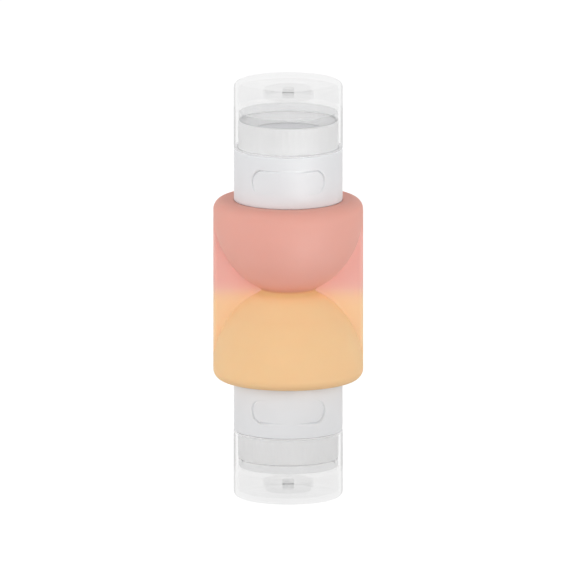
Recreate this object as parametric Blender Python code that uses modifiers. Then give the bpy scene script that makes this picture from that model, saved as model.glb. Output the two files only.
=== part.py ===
"""Double-ended travel bottle: a silicone hourglass with two chambers, closed at each end by a screw-on
dispensing cap with a slit valve, under a clear pull-off cap.

Metres, +Z up. The bottle stands on its lower clear cap, and the origin is the middle of that cap's flat
end face. The front, where the label recesses are, faces -Y, and the flat web lies in the XZ plane.

Both ends hold the same pieces, so each piece is described once, in the frame of its end. That frame
starts at the middle of the bottle and its +Z runs outwards, so a height there is a distance from the
middle. The lower end is the upper one turned half a turn about the Y axis, which keeps the recess at the
front and the screw threads right-handed.
"""

from math import acos, cos, pi, sin, sqrt

import bmesh
import bpy

OBJECT_NAME = "double_ended_travel_bottle"

# Fits
GAP = 0.0003                    # between pieces that touch
OVERRUN = 0.0010                # how far a cutter passes the face that it opens
MERGE = 0.00001                 # points closer than this are one point

# Squeeze body, one silicone moulding
BODY_RADIUS = 0.0240
BODY_HALF_HEIGHT = 0.0294       # middle plane to shoulder
SHOULDER_FILLET = 0.0035
SHOULDER_BAND = 0.0005          # upright side between the fillet and the bowl
WAIST_RADIUS = 0.0087
WAIST_HALF_HEIGHT = 0.0010
SILICONE_WALL = 0.0020
CAVITY_FILLET = 0.0015
PARTITION_THICKNESS = 0.0024    # silicone between the two chambers, at the waist
WEB_THICKNESS = 0.0030
WEB_EDGE_FILLET = 0.0010
WEB_INSET = 0.00005             # the web's edge lies this far inside the bowls' rims
SEAT_DEPTH = 0.00075            # seat in the shoulder, in which the collar stands
MOUTH_WALL = 0.0020

# Collar, the white shell round the silicone mouth
COLLAR_HEIGHT = 0.01685
COLLAR_WALL = 0.0013
COLLAR_STEP = 0.0001            # its side lies this far inside the clear cap's
COLLAR_EDGE = 0.0003
LEDGE_THICKNESS = 0.0010        # inner ledge that sits on the silicone mouth
RECESS_LENGTH = 0.0258          # measured round the collar
RECESS_HEIGHT = 0.0074
RECESS_DEPTH = 0.0005
RECESS_RISE = 0.00835           # collar's lower edge to the middle of the recess

# Neck insert, the rigid threaded tube inside the silicone mouth
FLANGE_DROP = 0.0029            # flange's top face below the collar's
FLANGE_THICKNESS = 0.0012
STEM_LENGTH = 0.0085
STEM_WALL = 0.0017
BARB_RISE = 0.0005              # ring bead that holds the stem in the silicone
BARB_HEIGHT = 0.0012
BARB_DROP = 0.0040              # flange's under face to the bead's top
FINISH_HEIGHT = 0.0055          # threaded tube above the flange
FINISH_WALL = 0.0018

# Screw thread, of the round profile that caps have
THREAD_PITCH = 0.0032
THREAD_TURNS = 1.0
THREAD_RADIUS = 0.0009
THREAD_CLEARANCE = 0.0004
THREAD_START = 0.0017           # flange's top face to the middle of the thread's lower end
THREAD_END_TURNS = 0.06         # the groove runs on past the ridge's upper end by this

# Dispensing cap, the ribbed white head
SKIRT_CLEARANCE = 0.0006        # to the inside of the collar
SKIRT_LIFT = 0.0004             # above the flange
SKIRT_WALL = 0.0026
GRIP_CLEARANCE = 0.0006         # to the inside of the clear cap
RIB_COUNT = 48
RIB_DEPTH = 0.00025
CUP_WALL = 0.00065
CUP_DEPTH = 0.0045
CUP_FLOOR_THICKNESS = 0.0008

# Gasket, slit valve and the ring that keeps the valve down
GASKET_THICKNESS = 0.0007
RETAINER_WALL = 0.0017
RETAINER_LIP = 0.0012           # how far it reaches over the valve's rim
RETAINER_LIP_THICKNESS = 0.0005
RETAINER_DROP = 0.0008          # its outer top edge below the cup's rim
VALVE_THICKNESS = 0.0006
VALVE_SEAT_WIDTH = 0.0024
VALVE_DISH = 0.0004             # the middle of the valve sinks by this
SLIT_LENGTH = 0.0090
SLIT_WIDTH = 0.0002

# Clear cap and its seal
CAP_RADIUS = 0.0175
CAP_HEIGHT = 0.0214
CAP_WALL = 0.0013
CAP_END_WALL = 0.0020
CAP_EDGE_FILLET = 0.0018
CAP_INNER_FILLET = 0.0006
CAP_BEAD_HEIGHT = 0.0006        # bead inside the cap that the seal sits against
CAP_BEAD_RISE = 0.0008
CEILING_RING_RADIUS = 0.0082
CEILING_RING_WALL = 0.0008
CEILING_RING_HEIGHT = 0.0024
CEILING_PIN_RADIUS = 0.0019
SEAL_WALL = 0.0010
SEAL_HEIGHT = 0.0023

# Facets: steps round a turned piece, and along an arc of its outline
SHELL_STEPS = 36
INNER_STEPS = 24
BOWL_STEPS = 8
CAVITY_STEPS = 6
FILLET_STEPS = 3
RECESS_END_STEPS = 5
RECESS_SIDE_STEPS = 6
THREAD_STEPS_PER_TURN = 20
THREAD_TAPER_STEPS = 3
SHARP_ANGLE = pi / 5

# Heights from the middle of the bottle, outwards
seat = BODY_HALF_HEIGHT - SEAT_DEPTH
collar_bottom = seat + GAP
collar_top = collar_bottom + COLLAR_HEIGHT
flange_top = collar_top - FLANGE_DROP
flange_bottom = flange_top - FLANGE_THICKNESS
ledge_top = flange_bottom - GAP
ledge_bottom = ledge_top - LEDGE_THICKNESS
mouth_top = ledge_bottom - GAP
stem_bottom = flange_bottom - STEM_LENGTH
barb_top = flange_bottom - BARB_DROP
barb_bottom = barb_top - BARB_HEIGHT
finish_top = flange_top + FINISH_HEIGHT
gasket_bottom = finish_top + GAP
gasket_top = gasket_bottom + GASKET_THICKNESS
cup_underside = gasket_top + GAP
cup_floor = cup_underside + CUP_FLOOR_THICKNESS
cup_rim = cup_floor + CUP_DEPTH
skirt_bottom = flange_top + SKIRT_LIFT
grip_bottom = collar_top + GAP
valve_bottom = cup_floor + GAP
valve_top = valve_bottom + VALVE_THICKNESS
cap_bottom = collar_top + GAP
cap_top = cap_bottom + CAP_HEIGHT
cap_ceiling = cap_top - CAP_END_WALL
seal_bottom = cup_rim + GAP
seal_top = seal_bottom + SEAL_HEIGHT
bead_bottom = seal_top + GAP
bead_top = bead_bottom + CAP_BEAD_HEIGHT
bowl_rim = BODY_HALF_HEIGHT - SHOULDER_FILLET - SHOULDER_BAND

# Radii, from the clear cap inwards
cap_bore = CAP_RADIUS - CAP_WALL
collar_radius = CAP_RADIUS - COLLAR_STEP
collar_bore = collar_radius - COLLAR_WALL
seat_radius = collar_radius + GAP
mouth_radius = collar_bore - GAP
mouth_bore = mouth_radius - MOUTH_WALL
stem_radius = mouth_bore - GAP
stem_bore = stem_radius - STEM_WALL
skirt_radius = collar_bore - SKIRT_CLEARANCE
skirt_bore = skirt_radius - SKIRT_WALL
finish_radius = skirt_bore - GAP
finish_bore = finish_radius - FINISH_WALL
grip_radius = cap_bore - GRIP_CLEARANCE
cup_radius = grip_radius - RIB_DEPTH - CUP_WALL
retainer_radius = cup_radius - GAP
valve_radius = retainer_radius - RETAINER_WALL - GAP
orifice_radius = valve_radius - VALVE_SEAT_WIDTH
seal_radius = cap_bore - GAP

# Both threads follow one helix; a turn count of 0 is the ridge's lower end
thread_base = flange_top + THREAD_START
groove_radius = THREAD_RADIUS + THREAD_CLEARANCE
groove_exit_turns = (thread_base - skirt_bottom + groove_radius + OVERRUN) / THREAD_PITCH


def linear(red, green, blue):
    """Turns a colour as a screen shows it, 0 to 255, into the linear values that a shader takes."""
    return tuple((level / 255) ** 2.2 for level in (red, green, blue)) + (1,)


PINK = linear(232, 168, 155)
ORANGE = linear(246, 198, 150)
WHITE = linear(238, 238, 239)
CLEAR = linear(247, 248, 249)
VALVE_GREY = linear(196, 199, 206)
SEAL_GREY = linear(222, 224, 227)


def start_collection(name):
    collection = bpy.data.collections.new(name)
    bpy.context.scene.collection.children.link(collection)
    return collection


def plain_material(name, colour, roughness, alpha=1):
    material = bpy.data.materials.new(name)
    material.use_nodes = True
    shader = material.node_tree.nodes["Principled BSDF"]
    shader.inputs["Base Color"].default_value = colour
    shader.inputs["Roughness"].default_value = roughness
    shader.inputs["Metallic"].default_value = 0
    shader.inputs["Alpha"].default_value = alpha
    material.diffuse_color = colour[:3] + (alpha,)
    return material


def blended_silicone(name):
    """Silicone that blends from pink above the waist to orange below it."""
    material = plain_material(name, PINK, 0.5)
    nodes = material.node_tree.nodes
    links = material.node_tree.links
    position = nodes.new("ShaderNodeTexCoord")
    split = nodes.new("ShaderNodeSeparateXYZ")
    blend = nodes.new("ShaderNodeMapRange")
    blend.inputs["From Min"].default_value = -WAIST_RADIUS / 2
    blend.inputs["From Max"].default_value = WAIST_HALF_HEIGHT
    blend.interpolation_type = "SMOOTHSTEP"
    mix = nodes.new("ShaderNodeMix")
    mix.data_type = "RGBA"
    mix.inputs["A"].default_value = ORANGE
    mix.inputs["B"].default_value = PINK
    links.new(position.outputs["Object"], split.inputs["Vector"])
    links.new(split.outputs["Z"], blend.inputs["Value"])
    links.new(blend.outputs["Result"], mix.inputs["Factor"])
    links.new(mix.outputs["Result"], nodes["Principled BSDF"].inputs["Base Color"])
    return material


def place(name, mesh, holder, collection, material=None):
    piece = bpy.data.objects.new(name, mesh)
    collection.objects.link(piece)
    piece.parent = holder
    if material:
        mesh.materials.append(material)
    return piece


def as_cutter(piece):
    piece.hide_render = True
    piece.display_type = "WIRE"
    return piece


def turned(name, outline, steps, holder, collection, material=None, closed=False):
    """Turns an outline of (radius, height) points, which runs down the outer side, about Z."""
    mesh = bpy.data.meshes.new(name)
    count = len(outline)
    edges = [(index, index + 1) for index in range(count - 1)]
    if closed:
        edges.append((count - 1, 0))
    mesh.from_pydata([(radius, 0, height) for radius, height in outline], edges, [])
    piece = place(name, mesh, holder, collection, material)
    screw = piece.modifiers.new("turn", "SCREW")
    screw.steps = steps
    screw.render_steps = steps
    screw.use_merge_vertices = True
    screw.merge_threshold = MERGE
    return piece


def arc(centre, radius, start, end, steps):
    """Points from one angle to another, where 0 points outwards and a quarter turn points up."""
    angles = [start + (end - start) * step / steps for step in range(steps + 1)]
    return [(centre[0] + radius * cos(angle), centre[1] + radius * sin(angle)) for angle in angles]


def boolean(piece, cutter, operation):
    modifier = piece.modifiers.new(cutter.name, "BOOLEAN")
    modifier.operation = operation
    modifier.solver = "EXACT"
    modifier.object = cutter


def settle(piece):
    """Keeps the modifiers' result as the piece's own mesh, smooth but for its sharp corners."""
    depsgraph = bpy.context.evaluated_depsgraph_get()
    mesh = bpy.data.meshes.new_from_object(piece.evaluated_get(depsgraph))
    mesh.name = piece.name
    piece.modifiers.clear()
    piece.data = mesh
    mesh.shade_smooth()
    mesh.set_sharp_from_angle(angle=SHARP_ANGLE)
    return piece


def helix_tube(name, tube_radius, first_turn, last_turn, taper_steps, holder, collection):
    """A round tube along the thread's helix, drawn in over its end steps to a third where it tapers."""
    curve = bpy.data.curves.new(name, "CURVE")
    curve.dimensions = "3D"
    curve.bevel_depth = tube_radius
    curve.bevel_resolution = 2
    curve.use_fill_caps = True
    spline = curve.splines.new("POLY")
    steps = round((last_turn - first_turn) * THREAD_STEPS_PER_TURN)
    spline.points.add(steps)
    for step in range(steps + 1):
        turn = first_turn + (last_turn - first_turn) * step / steps
        angle = 2 * pi * turn
        height = thread_base + turn * THREAD_PITCH
        spline.points[step].co = (finish_radius * cos(angle), finish_radius * sin(angle), height, 1)
        if taper_steps:
            from_end = min(step, steps - step, taper_steps)
            spline.points[step].radius = (1 + 2 * from_end / taper_steps) / 3
    guide = bpy.data.objects.new(name, curve)
    collection.objects.link(guide)
    guide.parent = holder
    bpy.context.view_layer.update()
    depsgraph = bpy.context.evaluated_depsgraph_get()
    mesh = bpy.data.meshes.new_from_object(guide.evaluated_get(depsgraph))
    bpy.data.objects.remove(guide)
    shape = bmesh.new()
    shape.from_mesh(mesh)
    bmesh.ops.remove_doubles(shape, verts=shape.verts, dist=MERGE)
    bmesh.ops.recalc_face_normals(shape, faces=shape.faces)
    shape.to_mesh(mesh)
    shape.free()
    return as_cutter(place(name, mesh, holder, collection))


def bowl_arc(radius, rim, depth, end_angle, steps):
    """Points down an elliptical bowl, from its upright rim to an angle of a quarter turn or less."""
    angles = [end_angle * step / steps for step in range(steps + 1)]
    return [(radius * cos(angle), rim - depth * sin(angle)) for angle in angles]


def squeeze_body(material, parts, cutters, middle, ends):
    """Two bowls that meet at a narrow waist, a flat web beside them, and a mouth at each end."""
    shoulder = BODY_HALF_HEIGHT
    waist_angle = acos(WAIST_RADIUS / BODY_RADIUS)
    bowl_depth = (bowl_rim - WAIST_HALF_HEIGHT) / sin(waist_angle)
    fillet_centre = (BODY_RADIUS - SHOULDER_FILLET, shoulder - SHOULDER_FILLET)
    half = [(0, mouth_top), (mouth_radius, mouth_top), (mouth_radius, seat), (seat_radius, seat)]
    half.append((seat_radius, shoulder))
    half += arc(fillet_centre, SHOULDER_FILLET, pi / 2, 0, FILLET_STEPS + 1)
    half += bowl_arc(BODY_RADIUS, bowl_rim, bowl_depth, waist_angle, BOWL_STEPS)
    outline = half + [(radius, -height) for radius, height in reversed(half)]
    body = turned("squeeze_body", outline, SHELL_STEPS, middle, parts, material)

    web_mesh = bpy.data.meshes.new("web")
    web = bmesh.new()
    bmesh.ops.create_cube(web, size=2)
    web_half_width = BODY_RADIUS - WEB_INSET
    web_half_height = bowl_rim + SHOULDER_BAND / 2
    bmesh.ops.scale(web, vec=(web_half_width, WEB_THICKNESS / 2, web_half_height), verts=web.verts)
    upright = [edge for edge in web.edges if edge.verts[0].co.z * edge.verts[1].co.z < 0]
    bmesh.ops.bevel(web, geom=upright, offset=WEB_EDGE_FILLET, segments=FILLET_STEPS, profile=0.5,
                    affect="EDGES")
    web.to_mesh(web_mesh)
    web.free()
    boolean(body, as_cutter(place("web", web_mesh, middle, cutters)), "UNION")

    cavity_radius = BODY_RADIUS - SILICONE_WALL
    ceiling = shoulder - SILICONE_WALL
    cavity_rim = ceiling - CAVITY_FILLET
    cavity_depth = cavity_rim - PARTITION_THICKNESS / 2
    groove = mouth_bore + BARB_RISE
    outline = [(0, mouth_top + OVERRUN), (mouth_bore, mouth_top + OVERRUN)]
    outline += [(mouth_bore, barb_top + GAP), (groove, barb_top)]
    outline += [(groove, barb_bottom), (mouth_bore, barb_bottom - GAP), (mouth_bore, ceiling)]
    outline += arc((cavity_radius - CAVITY_FILLET, cavity_rim), CAVITY_FILLET, pi / 2, 0, FILLET_STEPS)
    outline += bowl_arc(cavity_radius, cavity_rim, cavity_depth, pi / 2, CAVITY_STEPS)[1:]
    for end, holder in ends.items():
        chamber = turned(end + "_chamber", outline, INNER_STEPS, holder, cutters)
        boolean(body, as_cutter(chamber), "DIFFERENCE")
    return settle(body)


def recess_cutter(name, holder, collection):
    """A stadium wrapped round the front of the collar, lofted from upright slices of it."""
    end_radius = RECESS_HEIGHT / 2
    straight = RECESS_LENGTH / 2 - end_radius
    middle = collar_bottom + RECESS_RISE
    inner = collar_radius - RECESS_DEPTH
    outer = collar_radius + OVERRUN
    end_angles = [pi / 2 * step / RECESS_END_STEPS for step in range(1, RECESS_END_STEPS)]
    slices = [(straight * step / RECESS_SIDE_STEPS, end_radius) for step in range(RECESS_SIDE_STEPS + 1)]
    slices += [(straight + end_radius * sin(angle), end_radius * cos(angle)) for angle in end_angles]
    slices.append((RECESS_LENGTH / 2, RECESS_DEPTH / 2))
    slices = [(-along, half) for along, half in reversed(slices[1:])] + slices
    mesh = bpy.data.meshes.new(name)
    shape = bmesh.new()
    rings = []
    for along, half in slices:
        angle = along / collar_radius
        corners = [(inner, -half), (outer, -half), (outer, half), (inner, half)]
        rings.append([shape.verts.new((radius * sin(angle), -radius * cos(angle), middle + rise))
                      for radius, rise in corners])
    for ring, following in zip(rings, rings[1:]):
        for side in range(len(ring)):
            after = (side + 1) % len(ring)
            shape.faces.new((ring[side], ring[after], following[after], following[side]))
    shape.faces.new(rings[0])
    shape.faces.new(rings[-1])
    bmesh.ops.recalc_face_normals(shape, faces=shape.faces)
    shape.to_mesh(mesh)
    shape.free()
    return as_cutter(place(name, mesh, holder, collection))


def collar(end, material, parts, cutters, holder):
    """White shell with a label recess, and a ledge inside that the neck insert's flange holds down."""
    edge = COLLAR_EDGE
    outline = [(collar_radius - edge, collar_top), (collar_radius, collar_top - edge)]
    outline += [(collar_radius, collar_bottom + edge), (collar_radius - edge, collar_bottom)]
    outline += [(collar_bore, collar_bottom), (collar_bore, ledge_bottom), (mouth_bore, ledge_bottom)]
    outline += [(mouth_bore, ledge_top), (collar_bore, ledge_top), (collar_bore, collar_top)]
    piece = turned(end + "_collar", outline, SHELL_STEPS, holder, parts, material, closed=True)
    boolean(piece, recess_cutter(end + "_recess", holder, cutters), "DIFFERENCE")
    return settle(piece)


def neck_insert(end, material, parts, cutters, holder):
    """Rigid tube: a barbed stem in the silicone mouth, a flange, and the threaded finish above it."""
    barb = stem_radius + BARB_RISE
    outline = [(finish_radius, finish_top), (finish_radius, flange_top), (mouth_radius, flange_top)]
    outline += [(mouth_radius, flange_bottom), (stem_radius, flange_bottom), (stem_radius, barb_top)]
    outline += [(barb, barb_top - GAP), (barb, barb_bottom + GAP), (stem_radius, barb_bottom)]
    outline += [(stem_radius, stem_bottom), (stem_bore, stem_bottom), (stem_bore, flange_bottom)]
    outline += [(finish_bore, flange_top), (finish_bore, finish_top)]
    piece = turned(end + "_neck_insert", outline, INNER_STEPS, holder, parts, material, closed=True)
    ridge = helix_tube(end + "_thread_ridge", THREAD_RADIUS, 0, THREAD_TURNS, THREAD_TAPER_STEPS,
                       holder, cutters)
    boolean(piece, ridge, "UNION")
    return settle(piece)


def neck_gasket(end, material, parts, holder):
    """Flat ring between the lip of the neck insert and the dispensing cap."""
    outline = [(finish_radius, gasket_top), (finish_radius, gasket_bottom)]
    outline += [(finish_bore, gasket_bottom), (finish_bore, gasket_top)]
    piece = turned(end + "_neck_gasket", outline, INNER_STEPS, holder, parts, material, closed=True)
    return settle(piece)


def dispensing_cap(end, material, parts, cutters, holder):
    """Ribbed white head: a threaded skirt below, and a cup above that holds the valve."""
    mesh = bpy.data.meshes.new(end + "_dispensing_cap")
    grip = bmesh.new()
    grip_height = cup_rim - grip_bottom
    made = bmesh.ops.create_cone(grip, cap_ends=True, segments=2 * RIB_COUNT, radius1=grip_radius,
                                 radius2=grip_radius, depth=grip_height)
    valleys = [vert for index, vert in enumerate(made["verts"]) if index // 2 % 2]
    root_share = (grip_radius - RIB_DEPTH) / grip_radius
    bmesh.ops.scale(grip, vec=(root_share, root_share, 1), verts=valleys)
    bmesh.ops.translate(grip, vec=(0, 0, grip_bottom + grip_height / 2), verts=grip.verts)
    grip.to_mesh(mesh)
    grip.free()
    piece = place(end + "_dispensing_cap", mesh, holder, parts, material)

    outline = [(0, grip_bottom + OVERRUN), (skirt_radius, grip_bottom + OVERRUN)]
    outline += [(skirt_radius, skirt_bottom), (0, skirt_bottom)]
    boolean(piece, as_cutter(turned(end + "_skirt", outline, INNER_STEPS, holder, cutters)), "UNION")

    outline = [(0, cup_rim + OVERRUN), (cup_radius, cup_rim + OVERRUN), (cup_radius, cup_floor)]
    outline += [(orifice_radius, cup_floor), (orifice_radius, cup_underside), (skirt_bore, cup_underside)]
    outline += [(skirt_bore, skirt_bottom - OVERRUN), (0, skirt_bottom - OVERRUN)]
    boolean(piece, as_cutter(turned(end + "_bore", outline, INNER_STEPS, holder, cutters)), "DIFFERENCE")

    groove = helix_tube(end + "_thread_groove", groove_radius, -groove_exit_turns,
                        THREAD_TURNS + THREAD_END_TURNS, 0, holder, cutters)
    boolean(piece, groove, "DIFFERENCE")
    return settle(piece)


def slit_valve(end, material, parts, cutters, holder):
    """Thin dished disc with two crossed slits, which opens when the bottle is squeezed."""
    rim = orifice_radius - GAP
    outline = [(0, valve_top - VALVE_DISH), (rim, valve_top), (valve_radius, valve_top)]
    outline += [(valve_radius, valve_bottom), (rim, valve_bottom), (0, valve_bottom - VALVE_DISH)]
    piece = turned(end + "_slit_valve", outline, INNER_STEPS, holder, parts, material)
    slits = [(SLIT_LENGTH / 2, SLIT_WIDTH / 2), (SLIT_WIDTH / 2, SLIT_LENGTH / 2)]
    for number, (half_x, half_y) in enumerate(slits):
        mesh = bpy.data.meshes.new("slit")
        slit = bmesh.new()
        bmesh.ops.create_cube(slit, size=2)
        bmesh.ops.scale(slit, vec=(half_x, half_y, VALVE_THICKNESS + OVERRUN), verts=slit.verts)
        bmesh.ops.translate(slit, vec=(0, 0, valve_bottom), verts=slit.verts)
        slit.to_mesh(mesh)
        slit.free()
        cutter = place(end + "_slit_" + str(number + 1), mesh, holder, cutters)
        boolean(piece, as_cutter(cutter), "DIFFERENCE")
    return settle(piece)


def valve_retainer(end, material, parts, holder):
    """Ring pressed into the cup: it stands round the valve, and its sloped lip reaches over it."""
    shoulder = retainer_radius - RETAINER_WALL
    lip = valve_radius - RETAINER_LIP
    lip_bottom = valve_top + GAP
    outline = [(retainer_radius, cup_rim - RETAINER_DROP), (retainer_radius, valve_bottom)]
    outline += [(shoulder, valve_bottom), (shoulder, lip_bottom), (lip, lip_bottom)]
    outline += [(lip, lip_bottom + RETAINER_LIP_THICKNESS)]
    piece = turned(end + "_valve_retainer", outline, INNER_STEPS, holder, parts, material, closed=True)
    return settle(piece)


def clear_cap(end, material, parts, holder):
    """Clear cup with a rounded edge, a bead for the seal, and a ring and a pin on its ceiling."""
    bead = cap_bore - CAP_BEAD_RISE
    ring_end = cap_ceiling - CEILING_RING_HEIGHT
    ring_bore = CEILING_RING_RADIUS - CEILING_RING_WALL
    outline = [(0, cap_top)]
    outline += arc((CAP_RADIUS - CAP_EDGE_FILLET, cap_top - CAP_EDGE_FILLET), CAP_EDGE_FILLET,
                   pi / 2, 0, FILLET_STEPS)
    outline += [(CAP_RADIUS, cap_bottom), (cap_bore, cap_bottom), (cap_bore, bead_bottom)]
    outline += [(bead, bead_bottom), (bead, bead_top), (cap_bore, bead_top)]
    outline += arc((cap_bore - CAP_INNER_FILLET, cap_ceiling - CAP_INNER_FILLET), CAP_INNER_FILLET,
                   0, pi / 2, 2)
    outline += [(CEILING_RING_RADIUS, cap_ceiling), (CEILING_RING_RADIUS, ring_end)]
    outline += [(ring_bore, ring_end), (ring_bore, cap_ceiling), (CEILING_PIN_RADIUS, cap_ceiling)]
    outline += [(CEILING_PIN_RADIUS, ring_end), (0, ring_end)]
    return settle(turned(end + "_clear_cap", outline, SHELL_STEPS, holder, parts, material))


def cap_seal(end, material, parts, holder):
    """Soft ring inside the clear cap, which closes on the rim of the dispensing cap."""
    outline = [(seal_radius, seal_top), (seal_radius, seal_bottom)]
    outline += [(seal_radius - SEAL_WALL, seal_bottom), (seal_radius - SEAL_WALL, seal_top)]
    piece = turned(end + "_cap_seal", outline, SHELL_STEPS, holder, parts, material, closed=True)
    return settle(piece)


def main():
    for old in list(bpy.data.objects):
        bpy.data.objects.remove(old)
    parts = start_collection(OBJECT_NAME)
    cutters = start_collection("cutters")

    middle = bpy.data.objects.new("bottle_middle", None)
    parts.objects.link(middle)
    middle.location.z = cap_top
    ends = {}
    for end, half_turn in (("upper", 0), ("lower", pi)):
        ends[end] = bpy.data.objects.new(end + "_end", None)
        parts.objects.link(ends[end])
        ends[end].parent = middle
        ends[end].rotation_euler.y = half_turn
    bpy.context.view_layer.update()

    silicone = blended_silicone("silicone")
    squeeze_body(silicone, parts, cutters, middle, ends)
    for end, holder in ends.items():
        collar(end, plain_material(end + "_collar", WHITE, 0.4), parts, cutters, holder)
        neck_insert(end, plain_material(end + "_neck_insert", WHITE, 0.4), parts, cutters, holder)
        neck_gasket(end, plain_material(end + "_neck_gasket", SEAL_GREY, 0.6), parts, holder)
        dispensing_cap(end, plain_material(end + "_dispensing_cap", WHITE, 0.4), parts, cutters, holder)
        slit_valve(end, plain_material(end + "_slit_valve", VALVE_GREY, 0.5, 0.8), parts, cutters, holder)
        valve_retainer(end, plain_material(end + "_valve_retainer", WHITE, 0.4), parts, holder)
        clear_cap(end, plain_material(end + "_clear_cap", CLEAR, 0.1, 0.35), parts, holder)
        cap_seal(end, plain_material(end + "_cap_seal", SEAL_GREY, 0.5, 0.6), parts, holder)


main()
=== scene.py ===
"""Looks of the double-ended travel bottle: a soft silicone hourglass, with a white collar, a ribbed
dispensing head and a clear pull-off cap at each end.

Metres, +Z up. Both ends hold the same pieces, so a piece is shaped once, with heights that run outwards
from the middle of the bottle, and its lower copy is turned half a turn about the Y axis.
"""

from math import acos, atan2, cos, pi, radians, sin, tan

import bmesh
import bpy
import numpy as np
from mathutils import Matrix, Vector


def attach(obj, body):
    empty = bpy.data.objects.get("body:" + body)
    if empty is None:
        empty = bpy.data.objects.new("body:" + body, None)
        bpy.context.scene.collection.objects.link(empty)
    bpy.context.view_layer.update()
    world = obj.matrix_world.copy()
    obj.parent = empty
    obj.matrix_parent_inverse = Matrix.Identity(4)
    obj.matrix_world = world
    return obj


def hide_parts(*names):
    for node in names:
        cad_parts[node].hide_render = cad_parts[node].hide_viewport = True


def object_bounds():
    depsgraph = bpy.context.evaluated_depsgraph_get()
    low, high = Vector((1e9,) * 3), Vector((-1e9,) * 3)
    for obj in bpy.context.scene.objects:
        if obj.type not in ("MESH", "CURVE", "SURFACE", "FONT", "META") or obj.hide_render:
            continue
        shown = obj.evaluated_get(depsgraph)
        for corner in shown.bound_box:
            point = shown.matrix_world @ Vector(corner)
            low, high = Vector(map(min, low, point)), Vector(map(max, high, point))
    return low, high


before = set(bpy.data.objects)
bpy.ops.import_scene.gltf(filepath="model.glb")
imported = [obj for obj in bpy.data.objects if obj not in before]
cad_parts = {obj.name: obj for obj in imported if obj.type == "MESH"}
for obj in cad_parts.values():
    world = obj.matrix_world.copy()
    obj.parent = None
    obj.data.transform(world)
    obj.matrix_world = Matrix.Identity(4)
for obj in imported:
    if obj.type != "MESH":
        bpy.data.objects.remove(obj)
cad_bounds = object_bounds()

MM = 0.001
MIDDLE_HEIGHT = (cad_bounds[0].z + cad_bounds[1].z) / 2
FRONT_ANGLE = -pi / 2

# Squeeze body
BODY_RADIUS = 24.0 * MM
SHOULDER_HEIGHT = 29.4 * MM
SHOULDER_FILLET = 3.5 * MM
BOWL_RIM = 25.4 * MM
WAIST_RADIUS = 8.7 * MM
WAIST_HALF_HEIGHT = 0.4 * MM
WAIST_FILLET = 1.8 * MM
WEB_HALF_WIDTH = 23.98 * MM
WEB_HALF_THICKNESS = 1.5 * MM
WEB_EDGE_FILLET = 1.0 * MM
WEB_ROOT_FILLET = 0.9 * MM
WEB_ROOT_FADE = 3.0 * MM        # the root fillet fades out this near to the bowl's rim
CHAMBER_RADIUS = 22.0 * MM
CHAMBER_RIM = 25.9 * MM
CHAMBER_FILLET = 1.5 * MM
CHAMBER_BOTTOM = 1.2 * MM
MOUTH_RADIUS = 15.8 * MM
MOUTH_BORE = 13.8 * MM
MOUTH_TOP = 40.1 * MM
SEAT_RADIUS = 17.41 * MM        # seat in the shoulder, in which the collar stands
SEAT_HEIGHT = 28.65 * MM
SEAT_EDGE = 0.15 * MM
SEAT_RIM = 29.0 * MM            # the shoulder slopes down to this height at the seat
BARB_GROOVE_RADIUS = 14.3 * MM
BARB_RADIUS = 14.0 * MM
BARB_BOTTOM = 36.5 * MM
BARB_TOP = 37.7 * MM
BARB_SLOPE = 0.3 * MM

# Collar
COLLAR_RADIUS = 17.4 * MM
COLLAR_BORE = 16.1 * MM
COLLAR_BOTTOM = 28.95 * MM
COLLAR_TOP = 45.8 * MM
LEDGE_BOTTOM = 40.4 * MM
LEDGE_TOP = 41.4 * MM
RECESS_HALF_LENGTH = 13.1 * MM
RECESS_HALF_HEIGHT = 4.0 * MM
RECESS_DEPTH = 0.3 * MM
RECESS_WALL = 0.25 * MM         # how wide the recess's sloped wall is
RECESS_LINE_DEPTH = 0.8 * MM    # extra depth of the line along the recess's edge
RECESS_LINE_WIDTH = 0.6 * MM
RECESS_HEIGHT = 37.4 * MM
RECESS_RUN_OUT = 5.0 * MM       # the recess deepens over this height from its edge nearest the body
RECESS_SHALLOW = 0.05           # share of its depth that the recess has at the front
RECESS_DEEPENS = (2.0 * MM, 10.0 * MM)      # where along the collar it gets its full depth

# Neck insert and its gasket
FLANGE_BOTTOM = 41.7 * MM
FLANGE_TOP = 42.9 * MM
STEM_RADIUS = 13.5 * MM
STEM_BORE = 11.8 * MM
STEM_BOTTOM = 33.2 * MM
FINISH_RADIUS = 12.6 * MM
FINISH_BORE = 10.8 * MM
FINISH_TOP = 48.4 * MM
GASKET_BOTTOM = 48.7 * MM
GASKET_TOP = 49.4 * MM

# Thread
THREAD_BASE = 44.6 * MM
THREAD_PITCH = 3.2 * MM
RIDGE_RADIUS = 0.9 * MM
GROOVE_RADIUS = 1.3 * MM
RIDGE_TURNS = (0.0, 1.0)
GROOVE_TURNS = (-1.2, 1.06)
THREAD_TAPER_TURNS = 0.15
THREAD_START = 1 / 3            # share of its size with which the thread begins and ends

# Dispensing head
GRIP_RADIUS = 16.05 * MM
GRIP_EDGE = 0.55 * MM           # rounds the top of the grip
GRIP_BOTTOM = 46.1 * MM
SKIRT_RADIUS = 15.95 * MM
SKIRT_TOP = 45.7 * MM
SKIRT_BORE = 12.9 * MM
SKIRT_BOTTOM = 43.3 * MM
CUP_UNDERSIDE = 49.7 * MM
CUP_FLOOR = 50.5 * MM
CUP_RIM = 55.0 * MM
CUP_RADIUS = 14.7 * MM
ORIFICE_RADIUS = 10.0 * MM
RIB_COUNT = 48
RIB_DEPTH = 0.06 * MM
RIB_FADE = 0.7 * MM             # the ribs run out over this height at both ends of the grip

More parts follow.
